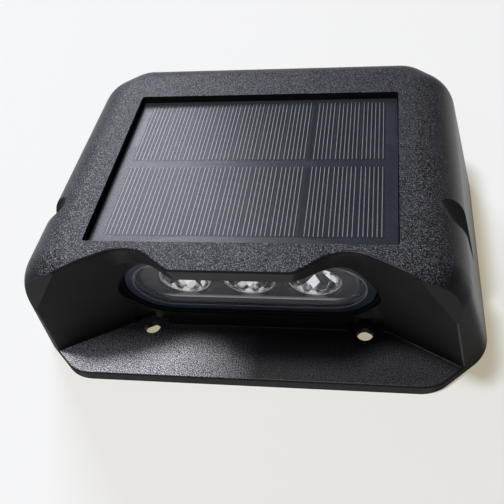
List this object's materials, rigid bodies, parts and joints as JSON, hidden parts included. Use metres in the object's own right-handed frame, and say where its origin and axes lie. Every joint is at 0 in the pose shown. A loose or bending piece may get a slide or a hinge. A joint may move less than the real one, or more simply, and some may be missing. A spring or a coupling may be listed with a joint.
{
  "type": "solar wall light",
  "caption": "Boxy solar wall light: a panel sunk in its front face, lamps behind one clear lens in a bay under a small visor, screwed to the wall through a thin flange.",
  "frame": {"origin": "middle of the back face, which lies on z = 0; the light lies on its back", "axes": "+Z out of the wall, +Y up the wall when it hangs, +X across it; the lamp bay faces -Y"},
  "size_m": [0.125, 0.104, 0.0434],
  "materials": {
    "black_grained_abs": "moulded black, fine grain",
    "black_smooth_abs": "moulded black, smooth",
    "dark_grey_satin_plastic": "satin dark grey",
    "bright_plated_cup": "bright plated plastic",
    "clear_lens": "clear polished",
    "clear_cover": "clear, slightly satin",
    "black_silicone": "soft black",
    "button_rubber": "soft black, satin",
    "dark_board": "dark blue-grey solder mask",
    "white_tape": "foam tape",
    "solar_cell": "dark blue-grey silicon",
    "lamp_package": "white moulded package",
    "yellow_phosphor": "yellow silicone",
    "white_board": "white solder mask",
    "green_board": "green solder mask",
    "black_epoxy": "moulded epoxy",
    "dark_ferrite": "fired ferrite",
    "capacitor_can": "drawn can",
    "battery_wrap": "blue sleeve over a steel can",
    "nickel_contact": "nickel-plated",
    "zinc_screw": "zinc-plated",
    "red_lead": "soft insulation",
    "black_lead": "soft insulation"
  },
  "bodies": {
    "light": {"back_plate": "black_grained_abs", "back_plate_screws": "zinc_screw", "back_seal": "black_silicone", "battery_cell": "battery_wrap", "battery_cradle": "black_smooth_abs", "battery_lead_minus": "black_lead", "battery_lead_plus": "red_lead", "battery_minus_contact": "nickel_contact", "battery_plus_contact": "nickel_contact", "button_seal": "black_silicone", "capacitor": "capacitor_can", "control_board": "green_board", "control_board_screws": "zinc_screw", "controller_chip": "black_epoxy", "cradle_screws": "zinc_screw", "diode": "black_epoxy", "driver_chip": "black_epoxy", "front_housing": "black_grained_abs", "inductor": "dark_ferrite", "led_board": "white_board", "led_board_screws": "zinc_screw", "led_lead_minus": "black_lead", "led_lead_plus": "red_lead", "led_left": "lamp_package", "led_middle": "lamp_package", "led_phosphor": "yellow_phosphor", "led_right": "lamp_package", "lens": "clear_lens", "lens_gasket": "black_silicone", "panel_lead_minus": "black_lead", "panel_lead_plus": "red_lead", "reflector_carrier": "dark_grey_satin_plastic", "reflector_cup_left": "bright_plated_cup", "reflector_cup_middle": "bright_plated_cup", "reflector_cup_right": "bright_plated_cup", "resistors": "black_epoxy", "solar_adhesive": "white_tape", "solar_backing_board": "dark_board", "solar_cells_front_row": "solar_cell", "solar_cells_rear_row": "solar_cell", "solar_cover_sheet": "clear_cover", "switch_body": "black_smooth_abs"},
    "button": {"push_button": "button_rubber", "switch_plunger": "black_smooth_abs"}
  },
  "joints": [
    {"name": "button_press", "type": "slide", "parent": "light", "child": "button", "axis": [0, 0, 1], "range_m": [0, 0.0012], "stiffness_N_per_m": 500}
  ]
}
